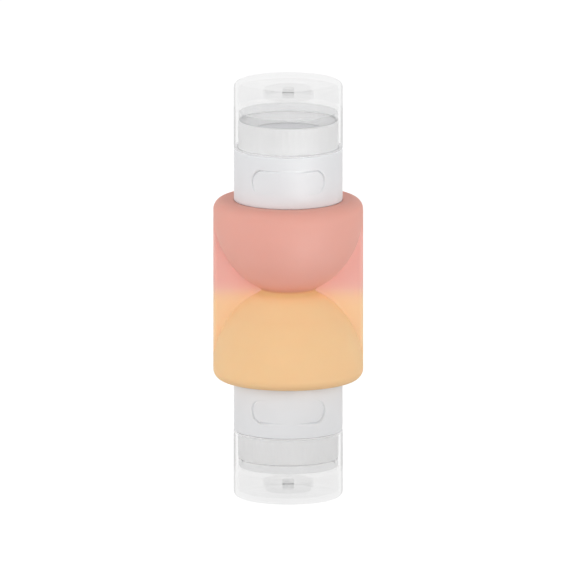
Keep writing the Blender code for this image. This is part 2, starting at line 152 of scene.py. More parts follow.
# Valve and the ring that holds it
VALVE_RADIUS = 12.4 * MM
VALVE_RIM_RADIUS = 9.7 * MM
VALVE_BOTTOM = 50.8 * MM
VALVE_TOP = 51.6 * MM
VALVE_DISH = 0.4 * MM
SLIT_HALF_LENGTH = 4.5 * MM
SLIT_HALF_WIDTH = 0.1 * MM
SLIT_CUT_DEPTH = 1.6 * MM
VALVE_SHARP_ANGLE = radians(40)
RETAINER_RADIUS = 14.68 * MM
RETAINER_SHOULDER = 12.7 * MM
RETAINER_LIP = 11.2 * MM
RETAINER_TOP = 54.92 * MM
LIP_BOTTOM = 51.7 * MM
LIP_TOP = 52.0 * MM

# Clear cap and its seal
CAP_RADIUS = 17.5 * MM
CAP_BORE = 16.2 * MM
CAP_BOTTOM = 45.9 * MM
CAP_TOP = 67.5 * MM
CAP_CEILING = 65.5 * MM
CAP_EDGE_FILLET = 1.8 * MM
CAP_INNER_FILLET = 0.6 * MM
BEAD_RADIUS = 15.4 * MM
BEAD_BOTTOM = 57.9 * MM
BEAD_TOP = 58.5 * MM
RING_RADIUS = 8.2 * MM
RING_BORE = 7.4 * MM
RING_END = 62.2 * MM
PIN_RADIUS = 1.9 * MM
SEAL_RADIUS = 15.9 * MM
SEAL_BORE = 14.9 * MM
SEAL_BOTTOM = 55.02 * MM
SEAL_TOP = 57.6 * MM

# Edges
BROKEN_EDGE = 0.1 * MM
SOFT_EDGE = 0.2 * MM
ROUND_EDGE = 0.3 * MM
SUPPORT = 0.12 * MM             # how near to an arc its straight neighbours get a support ring
MERGE = 0.001 * MM

# Steps
TURN_STEPS = 144
EDGE_STEPS = 4
WEB_EDGE_STEPS = 6
WEB_EDGE_FLAT_STEPS = 2
BOWL_STEPS = 76
WAIST_STEPS = 5
CHAMBER_STEPS = 24
FILLET_STEPS = 10
STEPS_PER_RIB = 8
FACE_SPACING = 0.45 * MM
BOWL_COLUMN = radians(2.6)
RECESS_SPACING = 0.15 * MM
THREAD_SPACING = 0.15 * MM
RIB_SPACING = 0.35 * MM
COLLAR_BACK_STEPS = 108
ANGLE_DIGITS = 7


# ---------------------------------------------------------------- outlines and meshes

def unit(vector):
    return vector / np.linalg.norm(vector)


def arc(centre, radius, start, end, steps):
    """Points of (radius, height) on an arc, where angle 0 points outwards and a quarter turn up."""
    angles = np.linspace(start, end, steps + 1)
    return np.stack((centre[0] + radius * np.cos(angles), centre[1] + radius * np.sin(angles)), axis=1)


def corner_arc(before, corner, after, fillet):
    """The arc that rounds a corner of an outline."""
    to_before = unit(before - corner)
    to_after = unit(after - corner)
    half_angle = acos(np.clip(to_before @ to_after, -1, 1)) / 2
    centre = corner + unit(to_before + to_after) * fillet / sin(half_angle)
    setback = fillet / tan(half_angle)
    start = corner + to_before * setback - centre
    end = corner + to_after * setback - centre
    sweep = pi - 2 * half_angle
    steps = [sweep * step / EDGE_STEPS for step in range(EDGE_STEPS + 1)]
    return [centre + (start * sin(sweep - turn) + end * sin(turn)) / sin(sweep) for turn in steps]


def rounded(corners, closed=True):
    """An outline from (radius, height, fillet) corners, with support rings beside its arcs."""
    places = [np.array(corner[:2]) for corner in corners]
    points = []
    for index, (place, corner) in enumerate(zip(places, corners)):
        if corner[2]:
            after = places[(index + 1) % len(places)]
            points += corner_arc(places[index - 1], place, after, corner[2])
        else:
            points.append(place)
    if closed:
        points.append(points[0])
    outline = [points[0]]
    for start, end in zip(points, points[1:]):
        length = np.linalg.norm(end - start)
        if length > 3 * SUPPORT:
            outline += [start + (end - start) * SUPPORT / length, end - (end - start) * SUPPORT / length]
        outline.append(end)
    return np.array(outline[:-1] if closed else outline)


def refined(outline, radius, spacing):
    """Adds rings to the upright stretches of an outline that lie at one radius."""
    points = [outline[0]]
    for start, end in zip(outline, outline[1:]):
        at_radius = abs(start[0] - radius) + abs(end[0] - radius) < MERGE
        steps = max(1, round(np.linalg.norm(end - start) / spacing)) if at_radius else 1
        points += [start + (end - start) * step / steps for step in range(1, steps + 1)]
    return np.array(points)


def even_angles(count=TURN_STEPS):
    return np.arange(count) * 2 * pi / count


def skinned(name, radii, heights, angles, closed):
    """A mesh through rings of points, with one row for each ring and one column for each angle."""
    heights = np.broadcast_to(heights, radii.shape)
    points = np.stack((radii * np.cos(angles), radii * np.sin(angles), heights), axis=2)
    index = np.arange(radii.size).reshape(radii.shape)
    following = np.roll(index, -1, axis=0)
    if not closed:
        index, following = index[:-1], following[:-1]
    corners = (index, np.roll(index, -1, axis=1), np.roll(following, -1, axis=1), following)
    quads = np.stack(corners, axis=2).reshape(-1, 4)
    mesh = bpy.data.meshes.new(name)
    mesh.from_pydata(points.reshape(-1, 3).tolist(), [], quads.tolist())
    shape = bmesh.new()
    shape.from_mesh(mesh)
    bmesh.ops.remove_doubles(shape, verts=shape.verts, dist=MERGE)
    bmesh.ops.recalc_face_normals(shape, faces=shape.faces)
    shape.to_mesh(mesh)
    shape.free()
    return mesh


def round_radii(outline, angles):
    """Radii for skinned() of an outline that is plainly turned round the axis."""
    return np.repeat(outline[:, :1], len(angles), axis=1)


def turned(name, outline, closed=True):
    angles = even_angles()
    return skinned(name, round_radii(outline, angles), outline[:, 1:], angles, closed)


def add_piece(name, mesh, end, body, node, material):
    """Puts a piece at its end of the bottle, in the place of a CAD node."""
    if end == "lower":
        flip = np.array((-1, 1, -1))
    else:
        flip = np.array((1, 1, 1))
    places = np.empty(len(mesh.vertices) * 3)
    mesh.vertices.foreach_get("co", places)
    places = places.reshape(-1, 3) * flip + np.array((0, 0, MIDDLE_HEIGHT))
    mesh.vertices.foreach_set("co", places.ravel())
    mesh.shade_smooth()
    mesh.materials.append(material)
    piece = bpy.data.objects.new(name, mesh)
    bpy.context.scene.collection.objects.link(piece)
    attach(piece, body)
    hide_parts(node)
    return piece


# ---------------------------------------------------------------- squeeze body

def smooth_max(first, second, reach):
    """The larger of two distances, blended where they differ by less than the reach."""
    reach = np.maximum(reach, MERGE)
    blend = np.maximum(reach - np.abs(first - second), 0)
    return np.maximum(first, second) + blend ** 2 / (4 * reach)


def bowl_points(radius, rim, depth, angles):
    return np.stack((radius * np.cos(angles), rim - depth * np.sin(angles)), axis=1)


def web_columns():
    """Angles round the body that follow the web's rounded edge, its flat face, and then the bowl."""
    edge_centre = (WEB_HALF_WIDTH - WEB_EDGE_FILLET, WEB_HALF_THICKNESS - WEB_EDGE_FILLET)
    flat_edge = [(WEB_HALF_WIDTH, edge_centre[1] * step / WEB_EDGE_FLAT_STEPS)
                 for step in range(WEB_EDGE_FLAT_STEPS)]
    round_edge = arc(edge_centre, WEB_EDGE_FILLET, 0, pi / 2, WEB_EDGE_STEPS).tolist()
    face_steps = round((edge_centre[0] - WAIST_RADIUS) / FACE_SPACING)
    face = [(x, WEB_HALF_THICKNESS)
            for x in np.linspace(edge_centre[0], WAIST_RADIUS, face_steps + 1)[1:]]
    quarter = [atan2(y, x) for x, y in flat_edge + round_edge + face]
    bowl_steps = round((pi / 2 - quarter[-1]) / BOWL_COLUMN)
    quarter += np.linspace(quarter[-1], pi / 2, bowl_steps + 1)[1:].tolist()
    quarter = np.array(quarter)
    whole = np.concatenate((quarter, pi - quarter, pi + quarter, 2 * pi - quarter))
    return np.unique(np.round(whole % (2 * pi), ANGLE_DIGITS) % round(2 * pi, ANGLE_DIGITS))


def web_reach(angles):
    """How far the web's outline, a rounded rectangle from above, lies from the axis at each angle."""
    across, along = np.abs(np.cos(angles)), np.abs(np.sin(angles))
    along = np.maximum(along, MERGE)
    centre_x = WEB_HALF_WIDTH - WEB_EDGE_FILLET
    centre_y = WEB_HALF_THICKNESS - WEB_EDGE_FILLET
    towards = across * centre_x + along * centre_y
    inside = towards ** 2 - centre_x ** 2 - centre_y ** 2 + WEB_EDGE_FILLET ** 2
    rounded_edge = towards + np.sqrt(np.maximum(inside, 0))
    at_face = WEB_HALF_THICKNESS / along
    at_edge = WEB_HALF_WIDTH / np.maximum(across, MERGE)
    reach = np.where(at_edge * along <= centre_y, at_edge, rounded_edge)
    return np.where(at_face * across <= centre_x, at_face, reach)


def chamber_outline():
    """The chamber's wall, from the axis out to the fillet under its ceiling."""
    wall = bowl_points(CHAMBER_RADIUS, CHAMBER_RIM, CHAMBER_RIM - CHAMBER_BOTTOM,
                       np.linspace(pi / 2, 0, CHAMBER_STEPS + 1))
    fillet_centre = (CHAMBER_RADIUS - CHAMBER_FILLET, CHAMBER_RIM)
    return np.concatenate((wall, arc(fillet_centre, CHAMBER_FILLET, 0, pi / 2, EDGE_STEPS)[1:]))


def mouth_outline():
    """The mouth with its barb groove, the seat for the collar, and the shoulder out to its fillet."""
    mouth = rounded([
        (MOUTH_BORE, CHAMBER_RIM + CHAMBER_FILLET, 0),
        (MOUTH_BORE, BARB_BOTTOM - BARB_SLOPE, 0),
        (BARB_GROOVE_RADIUS, BARB_BOTTOM, 0),
        (BARB_GROOVE_RADIUS, BARB_TOP, 0),
        (MOUTH_BORE, BARB_TOP + BARB_SLOPE, 0),
        (MOUTH_BORE, MOUTH_TOP, SOFT_EDGE),
        (MOUTH_RADIUS, MOUTH_TOP, SOFT_EDGE),
        (MOUTH_RADIUS, SEAT_HEIGHT, SOFT_EDGE),
        (SEAT_RADIUS, SEAT_HEIGHT, SOFT_EDGE),
        (SEAT_RADIUS, SEAT_RIM, SEAT_EDGE),
        (BODY_RADIUS - SHOULDER_FILLET, SHOULDER_HEIGHT, 0),
    ], closed=False)
    fillet_centre = (BODY_RADIUS - SHOULDER_FILLET, SHOULDER_HEIGHT - SHOULDER_FILLET)
    return np.concatenate((mouth, arc(fillet_centre, SHOULDER_FILLET, pi / 2, 0, FILLET_STEPS)[1:-1]))


def bowl_outline():
    """The bowl from its rim to the bottle's middle, rounded into the waist."""
    waist_angle = acos(WAIST_RADIUS / BODY_RADIUS)
    depth = (BOWL_RIM - WAIST_HALF_HEIGHT) / sin(waist_angle)
    bowl = bowl_points(BODY_RADIUS, BOWL_RIM, depth, np.linspace(0, waist_angle, BOWL_STEPS + 1))
    waist_heights = np.linspace(WAIST_HALF_HEIGHT, 0, WAIST_STEPS + 1)[1:]
    waist_radii = BODY_RADIUS * np.sqrt(1 - ((BOWL_RIM - waist_heights) / depth) ** 2)
    bowl = np.concatenate((bowl, np.stack((waist_radii, waist_heights), axis=1)))
    bowl[:, 0] = smooth_max(bowl[:, 0], WAIST_RADIUS, WAIST_FILLET)
    return bowl


def squeeze_body(material):
    """Two bowls that meet at the waist, the flat web, and a chamber and a mouth at each end."""
    bowl = bowl_outline()
    half = np.concatenate((chamber_outline(), mouth_outline(), bowl))
    is_bowl = np.arange(len(half)) >= len(half) - len(bowl)
    outline = np.concatenate((half, half[-2::-1] * (1, -1)))
    is_bowl = np.concatenate((is_bowl, is_bowl[-2::-1]))[:, None]
    angles = web_columns()
    radii = round_radii(outline, angles)
    root_fade = np.clip((BODY_RADIUS - radii) / WEB_ROOT_FADE, 0, 1)
    with_web = smooth_max(radii, web_reach(angles)[None, :], WEB_ROOT_FILLET * root_fade)
    radii = np.where(is_bowl, with_web, radii)
    mesh = skinned("squeeze_body_silicone", radii, outline[:, 1:], angles, closed=False)
    add_piece("squeeze_body_silicone", mesh, "upper", "bottle", "squeeze_body", material)


# ---------------------------------------------------------------- pieces of an end

def smooth_step(share):
    share = np.clip(share, 0, 1)
    return share ** 2 * (3 - 2 * share)


def recess_columns():
    """Angles round the collar, close together across the recess at the front."""
    reach = (RECESS_HALF_LENGTH + RECESS_WALL * 2) / COLLAR_RADIUS
    front = np.linspace(-reach, reach, round(2 * reach * COLLAR_RADIUS / RECESS_SPACING))
    back = np.linspace(reach, 2 * pi - reach, COLLAR_BACK_STEPS)[1:-1]
    return FRONT_ANGLE + np.concatenate((front, back))


def collar(end, material):
    """White shell with a shallow stadium recess at the front, which runs out towards the body."""
    outline = rounded([
        (COLLAR_RADIUS, COLLAR_TOP, ROUND_EDGE),
        (COLLAR_RADIUS, COLLAR_BOTTOM, ROUND_EDGE),
        (COLLAR_BORE, COLLAR_BOTTOM, SOFT_EDGE),
        (COLLAR_BORE, LEDGE_BOTTOM, BROKEN_EDGE),
        (MOUTH_BORE, LEDGE_BOTTOM, SOFT_EDGE),
        (MOUTH_BORE, LEDGE_TOP, SOFT_EDGE),
        (COLLAR_BORE, LEDGE_TOP, BROKEN_EDGE),
        (COLLAR_BORE, COLLAR_TOP, SOFT_EDGE),
    ])
    outline = refined(outline, COLLAR_RADIUS, RECESS_SPACING)
    angles = recess_columns()
    radii = round_radii(outline, angles)
    heights = outline[:, 1:]
    along = np.abs((angles - FRONT_ANGLE + pi) % (2 * pi) - pi) * COLLAR_RADIUS
    past_straight = np.maximum(along - (RECESS_HALF_LENGTH - RECESS_HALF_HEIGHT), 0)[None, :]
    inside = RECESS_HALF_HEIGHT - np.hypot(past_straight, heights - RECESS_HEIGHT)
    rise = smooth_step(inside / RECESS_WALL)
    run_out = np.clip((heights - RECESS_HEIGHT + RECESS_HALF_HEIGHT) / RECESS_RUN_OUT, 0, 1)
    deepens = smooth_step((along - RECESS_DEEPENS[0]) / (RECESS_DEEPENS[1] - RECESS_DEEPENS[0]))[None, :]
    from_line = np.clip(np.abs(inside / RECESS_LINE_WIDTH * 2 - 1), 0, 1)
    depth = RECESS_DEPTH * rise + RECESS_LINE_DEPTH * (1 - from_line ** 2)
    sunk = depth * run_out * (RECESS_SHALLOW + (1 - RECESS_SHALLOW) * deepens)
    radii = np.where(radii > COLLAR_RADIUS - MERGE, radii - sunk, radii)
    name = end + "_collar_shell"
    mesh = skinned(name, radii, heights, angles, closed=True)
    add_piece(name, mesh, end, "bottle", end + "_collar", material)


def thread_swell(tube_radius, turns, taper, heights, angles):
    """How far a round thread stands out from the surface it runs on, at each height and angle."""
    swell = np.zeros(np.broadcast_shapes(heights.shape, (1, len(angles))))
    for whole_turns in range(-2, 2):
        turn = angles[None, :] / (2 * pi) + whole_turns
        to_end = np.minimum(turn - turns[0], turns[1] - turn)
        grown = np.clip(to_end / taper, 0, 1) if taper else 1.0
        tube = tube_radius * (THREAD_START + (1 - THREAD_START) * grown)
        offset = heights - (THREAD_BASE + turn * THREAD_PITCH)
        bulge = np.sqrt(np.maximum(tube ** 2 - offset ** 2, 0))
        swell = np.maximum(swell, np.where(to_end >= 0, bulge, 0))
    return swell


def neck_insert(end, material):
    """Barbed stem, flange and threaded finish."""
    outline = rounded([
        (FINISH_RADIUS, FINISH_TOP, SOFT_EDGE),
        (FINISH_RADIUS, FLANGE_TOP, SOFT_EDGE),
        (MOUTH_RADIUS, FLANGE_TOP, SOFT_EDGE),
        (MOUTH_RADIUS, FLANGE_BOTTOM, SOFT_EDGE),
        (STEM_RADIUS, FLANGE_BOTTOM, BROKEN_EDGE),
        (STEM_RADIUS, BARB_TOP, 0),
        (BARB_RADIUS, BARB_TOP - BARB_SLOPE, 0),
        (BARB_RADIUS, BARB_BOTTOM + BARB_SLOPE, 0),
        (STEM_RADIUS, BARB_BOTTOM, 0),
        (STEM_RADIUS, STEM_BOTTOM, SOFT_EDGE),
        (STEM_BORE, STEM_BOTTOM, SOFT_EDGE),
        (STEM_BORE, FLANGE_BOTTOM, 0),
        (FINISH_BORE, FLANGE_TOP, 0),
        (FINISH_BORE, FINISH_TOP, SOFT_EDGE),
    ])
    outline = refined(outline, FINISH_RADIUS, THREAD_SPACING)
    angles = even_angles()
    radii = round_radii(outline, angles)
    swell = thread_swell(RIDGE_RADIUS, RIDGE_TURNS, THREAD_TAPER_TURNS, outline[:, 1:], angles)
    radii = np.where(np.abs(radii - FINISH_RADIUS) < MERGE, FINISH_RADIUS + swell, radii)
    name = end + "_insert_tube"
    mesh = skinned(name, radii, outline[:, 1:], angles, closed=True)
    add_piece(name, mesh, end, "bottle", end + "_neck_insert", material)


def neck_gasket(end, material):
    outline = rounded([
        (FINISH_RADIUS, GASKET_TOP, BROKEN_EDGE),
        (FINISH_RADIUS, GASKET_BOTTOM, BROKEN_EDGE),
        (FINISH_BORE, GASKET_BOTTOM, BROKEN_EDGE),
        (FINISH_BORE, GASKET_TOP, BROKEN_EDGE),
    ])
    name = end + "_gasket_ring"
    add_piece(name, turned(name, outline), end, end + "_gasket", end + "_neck_gasket",
              material)


def dispensing_head(end, material):
    """Ribbed grip, the cup above it and the threaded skirt below."""
    outline = rounded([
        (GRIP_RADIUS, CUP_RIM, GRIP_EDGE),
        (GRIP_RADIUS, GRIP_BOTTOM, 0),
        (GRIP_RADIUS - BROKEN_EDGE, SKIRT_TOP, 0),
        (SKIRT_RADIUS, SKIRT_TOP, BROKEN_EDGE),
        (SKIRT_RADIUS, SKIRT_BOTTOM, SOFT_EDGE),
        (SKIRT_BORE, SKIRT_BOTTOM, SOFT_EDGE),
        (SKIRT_BORE, CUP_UNDERSIDE, SOFT_EDGE),
        (ORIFICE_RADIUS, CUP_UNDERSIDE, SOFT_EDGE),
        (ORIFICE_RADIUS, CUP_FLOOR, SOFT_EDGE),
        (CUP_RADIUS, CUP_FLOOR, SOFT_EDGE),
        (CUP_RADIUS, CUP_RIM, BROKEN_EDGE),
    ])
    outline = refined(outline, GRIP_RADIUS, RIB_SPACING)
    outline = refined(outline, SKIRT_BORE, THREAD_SPACING)
    angles = even_angles(RIB_COUNT * STEPS_PER_RIB)
    heights = outline[:, 1:]
    radii = round_radii(outline, angles)
    from_ends = np.minimum(heights - GRIP_BOTTOM, CUP_RIM - GRIP_EDGE - heights)
    valley = (0.5 - 0.5 * np.cos(RIB_COUNT * angles))[None, :]
    ribbed = GRIP_RADIUS - RIB_DEPTH * valley * np.clip(from_ends / RIB_FADE, 0, 1)
    radii = np.where(np.abs(radii - GRIP_RADIUS) < MERGE, ribbed, radii)
    swell = thread_swell(GROOVE_RADIUS, GROOVE_TURNS, 0, heights, angles)
    grooved = np.maximum(SKIRT_BORE, FINISH_RADIUS + swell)
    radii = np.where(np.abs(radii - SKIRT_BORE) < MERGE, grooved, radii)
    name = end + "_ribbed_head"
    mesh = skinned(name, radii, heights, angles, closed=True)
    add_piece(name, mesh, end, end + "_head", end + "_dispensing_cap", material)


def slit_valve(end, material):
    """Dished disc with two crossed slits through it."""
    shares = np.linspace(0, 1, FILLET_STEPS + 1)
    dish = VALVE_DISH * (1 - shares ** 2)
    top = np.stack((VALVE_RIM_RADIUS * shares, VALVE_TOP - dish), axis=1)
    bottom = np.stack((VALVE_RIM_RADIUS * shares, VALVE_BOTTOM - dish), axis=1)[::-1]
    rim = [(VALVE_RADIUS, VALVE_TOP), (VALVE_RADIUS, VALVE_BOTTOM)]
    name = end + "_valve_disc"
    disc = bpy.data.objects.new(name, turned(name, np.concatenate((top, rim, bottom)), closed=False))
    bpy.context.scene.collection.objects.link(disc)
    cutters = []
    for half_x, half_y in ((SLIT_HALF_LENGTH, SLIT_HALF_WIDTH), (SLIT_HALF_WIDTH, SLIT_HALF_LENGTH)):
        shape = bmesh.new()
        bmesh.ops.create_cube(shape, size=2)
        bmesh.ops.scale(shape, vec=(half_x, half_y, SLIT_CUT_DEPTH), verts=shape.verts)
        bmesh.ops.translate(shape, vec=(0, 0, VALVE_BOTTOM), verts=shape.verts)
        mesh = bpy.data.meshes.new("slit")
        shape.to_mesh(mesh)
        shape.free()
        cutter = bpy.data.objects.new("slit", mesh)
        bpy.context.scene.collection.objects.link(cutter)
        cutters.append(cutter)
        cut = disc.modifiers.new("slit", "BOOLEAN")
        cut.solver = "EXACT"
        cut.object = cutter
    bpy.context.view_layer.update()
    mesh = bpy.data.meshes.new_from_object(disc.evaluated_get(bpy.context.evaluated_depsgraph_get()))
    for helper in cutters + [disc]:
        bpy.data.objects.remove(helper)
    add_piece(name, mesh, end, end + "_head", end + "_slit_valve", material)
    mesh.set_sharp_from_angle(angle=VALVE_SHARP_ANGLE)


def retaining_ring(end, material):
    outline = rounded([
        (RETAINER_RADIUS, RETAINER_TOP, BROKEN_EDGE),
        (RETAINER_RADIUS, VALVE_BOTTOM, BROKEN_EDGE),
        (RETAINER_SHOULDER, VALVE_BOTTOM, BROKEN_EDGE),
        (RETAINER_SHOULDER, LIP_BOTTOM, BROKEN_EDGE),
        (RETAINER_LIP, LIP_BOTTOM, BROKEN_EDGE),
        (RETAINER_LIP, LIP_TOP, SOFT_EDGE),
    ])
    name = end + "_retaining_ring"
    add_piece(name, turned(name, outline), end, end + "_head", end + "_valve_retainer",
              material)


def clear_cap(end, material):
    """Clear cup with a rounded edge, a bead inside, and a ring and a pin on its ceiling."""
    outline = rounded([
        (0, CAP_TOP, 0),
        (CAP_RADIUS, CAP_TOP, CAP_EDGE_FILLET),
        (CAP_RADIUS, CAP_BOTTOM, SOFT_EDGE),
        (CAP_BORE, CAP_BOTTOM, SOFT_EDGE),
        (CAP_BORE, BEAD_BOTTOM, BROKEN_EDGE),
        (BEAD_RADIUS, BEAD_BOTTOM, SOFT_EDGE),
        (BEAD_RADIUS, BEAD_TOP, SOFT_EDGE),
        (CAP_BORE, BEAD_TOP, BROKEN_EDGE),
        (CAP_BORE, CAP_CEILING, CAP_INNER_FILLET),
        (RING_RADIUS, CAP_CEILING, SOFT_EDGE),
        (RING_RADIUS, RING_END, SOFT_EDGE),
        (RING_BORE, RING_END, SOFT_EDGE),
        (RING_BORE, CAP_CEILING, SOFT_EDGE),
        (PIN_RADIUS, CAP_CEILING, SOFT_EDGE),
        (PIN_RADIUS, RING_END, SOFT_EDGE),
        (0, RING_END, 0),
    ], closed=False)
    name = end + "_cap_shell"
    piece = add_piece(name, turned(name, outline, closed=False), end, end + "_cap", end + "_clear_cap",
                      material)
    piece.visible_shadow = False        # clear plastic this thin casts hardly any


def cap_seal(end, material):
    outline = rounded([
        (SEAL_RADIUS, SEAL_TOP, ROUND_EDGE),
        (SEAL_RADIUS, SEAL_BOTTOM, BROKEN_EDGE),
        (SEAL_BORE, SEAL_BOTTOM, BROKEN_EDGE),
        (SEAL_BORE, SEAL_TOP, ROUND_EDGE),
    ])
    name = end + "_seal_ring"
    piece = add_piece(name, turned(name, outline), end, end + "_cap", end + "_cap_seal",
                      material)
    piece.visible_shadow = False        # as the clear cap's


# ---------------------------------------------------------------- materials

# Screen colours, 0 to 255, between which each finish drifts
COLLAR_WHITE = ((231, 232, 234), (233, 234, 236))
HEAD_WHITE = ((244, 244, 244), (247, 247, 247))
GASKET_GREY = ((214, 216, 219), (224, 226, 229))
SEAL_MILKY = ((190, 191, 193), (200, 201, 203))
VALVE_GREY = ((224, 224, 227), (230, 230, 233))
SEAL_OPACITY = 0.17

TONE_RANGE = (0.3, 0.7)         # the tone's noise mostly stays between these

# Silicone: heights from the middle in millimetres, and the screen colours there
BOWL_BLEND = (
    (-8.0, (254, 209, 158)),
    (-3.0, (255, 216, 164)),
    (-0.5, (253, 211, 158)),
    (0.1, (243, 186, 145)),
    (0.7, (239, 175, 161)),
)
# The web's own pink and orange, made paler by painted light that stands in for light through the thin web
# and lifts the shade between the bowls
WEB_BLEND_WITH_PAINTED_LIGHT = (
    (-5.3, (255, 215, 172)),
    (-3.7, (254, 213, 173)),
    (-2.4, (252, 210, 174)),
    (-1.4, (250, 206, 177)),
    (-0.4, (248, 202, 181)),
    (0.5, (247, 196, 181)),
    (1.5, (246, 192, 180)),
    (2.9, (246, 189, 179)),
)
SILICONE_DRIFT = ((0.985, 0.975, 0.97, 1), (1, 1, 1, 1))
FOLD_PAINTED_SHADE = (0.86, 0.89, 0.82, 1)      # painted shade: darker silicone in the fold at the waist, where shade falls

# Each pair says where a mask is 0 and where it is 1, in millimetres where nothing else is said
# Painted shade in the fold at the waist
WITHIN_PAINTED_FOLD_SHADE = (12.0, 9.0)       # from the axis
WEB_MIDDLE = (21.0, 17.0)       # from the bottle's middle
WEB_FACE = (0.9, 0.1)           # beyond the web's flat face
# Beside the head the wall's limbs carry painted refraction: a darker grey for the head and the gap that
# show through there
BESIDE_HEAD = (59.0, 58.4)      # from the bottle's middle: the stretch of the clear wall round the head
# Painted light: a pale, glowing band along the cap's open edge
PAINTED_LIGHT_OPEN_EDGE = (46.45, 46.25)      # from the bottle's middle
END_FACE = (66.2, 67.2)         # from the bottle's middle
OUTER_WALL = (16.6, 17.3)       # from the axis
WITHIN_RING = (8.6, 8.3)        # from the axis
WITHIN_PIN = (2.3, 1.95)        # from the axis
UPRIGHT = (0.6, 0.2)            # by the upward share of the normal
WALL_LIMB = (0.58, 0.90)        # by how far the surface turns away from the eye
END_LIMB = (0.86, 0.95)         # likewise

# Opacity of one surface of the clear cap
INSIDE_OPACITY = 0.03
RING_OPACITY = 0.05
PIN_OPACITY = 0.12
OUTSIDE_OPACITY = 0.14
BESIDE_HEAD_OPACITY = 0.11
LIMB_OPACITY = 0.4
# Painted refraction: the limbs are more opaque beside the head
PAINTED_REFRACTION_OPACITY = 0.55
# Painted light: the open edge and rim are drawn pale and more opaque
PAINTED_EDGE_LIGHT_OPACITY = 0.4
PAINTED_RIM_LIGHT_OPACITY = 0.85

CLEAR_TINT = (165, 165, 166)
# Painted refraction: the darker grey of the limbs beside the head
PAINTED_REFRACTION_TINT = (155, 155, 157)
# Painted light: the pale colour of the open edge
PAINTED_EDGE_LIGHT_TINT = (238, 238, 239)
PAINTED_RIM_GLOW = 0.10                 # painted light: the open rim glows, standing in for light that the wall pipes there, and hides the shade on the collar's ledge


def screen_colour(red, green, blue):
    """A colour as a screen shows it, 0 to 255, in the linear values that a shader takes."""
    levels = [level / 255 for level in (red, green, blue)]
    return tuple(level / 12.92 if level <= 0.04045 else ((level + 0.055) / 1.055) ** 2.4
                 for level in levels) + (1,)


def grey(level):
    return (level, level, level, 1)


def add_node(tree, kind, settings=None, values=None):
    node = tree.nodes.new("ShaderNode" + kind)
    for name, value in (settings or {}).items():
        setattr(node, name, value)
    for name, value in (values or {}).items():
        node.inputs[name].default_value = value
    return node


def feed(tree, source, socket):
    """Sets a socket where the source is a plain value, and links it where it is a node's output."""
    if isinstance(source, (float, tuple)):
        socket.default_value = source
    else:
        tree.links.new(source, socket)


def spread(tree, source, start, end, low=0.0, high=1.0, interpolation="LINEAR"):
    """Passes from low to high while the source goes from start to end."""
    node = add_node(tree, "MapRange", {"interpolation_type": interpolation},
                    {"From Min": start, "From Max": end, "To Min": low, "To Max": high})
    feed(tree, source, node.inputs["Value"])
    return node.outputs["Result"]


def fade(tree, source, start, end, low=0.0, high=1.0):
    return spread(tree, source, start, end, low, high, "SMOOTHSTEP")


def combine(tree, operation, *sources):
    node = add_node(tree, "Math", {"operation": operation})
    for source, socket in zip(sources, node.inputs):
        feed(tree, source, socket)
    return node.outputs["Value"]


def blend_colours(tree, share, first, second, kind="MIX"):
    node = add_node(tree, "Mix", {"data_type": "RGBA", "blend_type": kind})
    for source, name in ((share, "Factor"), (first, "A"), (second, "B")):
        feed(tree, source, node.inputs[name])
    return node.outputs["Result"]


def split_vector(tree, vector):
    node = add_node(tree, "SeparateXYZ")
    tree.links.new(vector, node.inputs["Vector"])
    return node.outputs["X"], node.outputs["Y"], node.outputs["Z"]


def start_group(name, inputs, outputs):
    group = bpy.data.node_groups.new(name, "ShaderNodeTree")
    for names, way in ((inputs, "INPUT"), (outputs, "OUTPUT")):
        for socket in names:
            group.interface.new_socket(socket, in_out=way, socket_type="NodeSocketFloat")
    return group, group.nodes.new("NodeGroupInput"), group.nodes.new("NodeGroupOutput")


def moulded_surface():
    """Uneven tone and fine grain that moulding leaves on plastic and silicone."""
    group, entry, result = start_group("moulded_surface", ("Tone Scale", "Grain Scale"),
                                       ("Tone", "Grain"))
    place = add_node(group, "TexCoord")
    tone = add_node(group, "TexNoise", values={"Detail": 3.0, "Roughness": 0.55})
    grain = add_node(group, "TexNoise", values={"Detail": 2.0, "Roughness": 0.6})
    for noise, scale, output in ((tone, "Tone Scale", "Tone"), (grain, "Grain Scale", "Grain")):
        group.links.new(place.outputs["Object"], noise.inputs["Vector"])
        group.links.new(entry.outputs[scale], noise.inputs["Scale"])
        group.links.new(noise.outputs["Fac"], result.inputs[output])
    return group


def place_on_bottle():
    """Where a point lies, in millimetres: Height above the bottle's middle, Distance from the middle
    along the axis either way, Radius from the axis, and Side from the web's middle plane."""
    group, _, result = start_group("place_on_bottle", (), ("Height", "Distance", "Radius", "Side"))
    x, y, z = split_vector(group, add_node(group, "TexCoord").outputs["Object"])
    height = combine(group, "MULTIPLY_ADD", z, 1 / MM, -MIDDLE_HEIGHT / MM)
    squares = combine(group, "MULTIPLY_ADD", x, x, combine(group, "MULTIPLY", y, y))
    places = {
        "Height": height,
        "Distance": combine(group, "ABSOLUTE", height),
        "Radius": combine(group, "MULTIPLY", combine(group, "SQRT", squares), 1 / MM),
        "Side": combine(group, "MULTIPLY", combine(group, "ABSOLUTE", y), 1 / MM),
    }
    for name, place in places.items():
        group.links.new(place, result.inputs[name])
    return group


def start_material(name, values):
    material = bpy.data.materials.new(name)
    material.use_nodes = True
    tree = material.node_tree
    shader = tree.nodes["Principled BSDF"]
    for socket, value in values.items():
        shader.inputs[socket].default_value = value
    return material, tree, shader


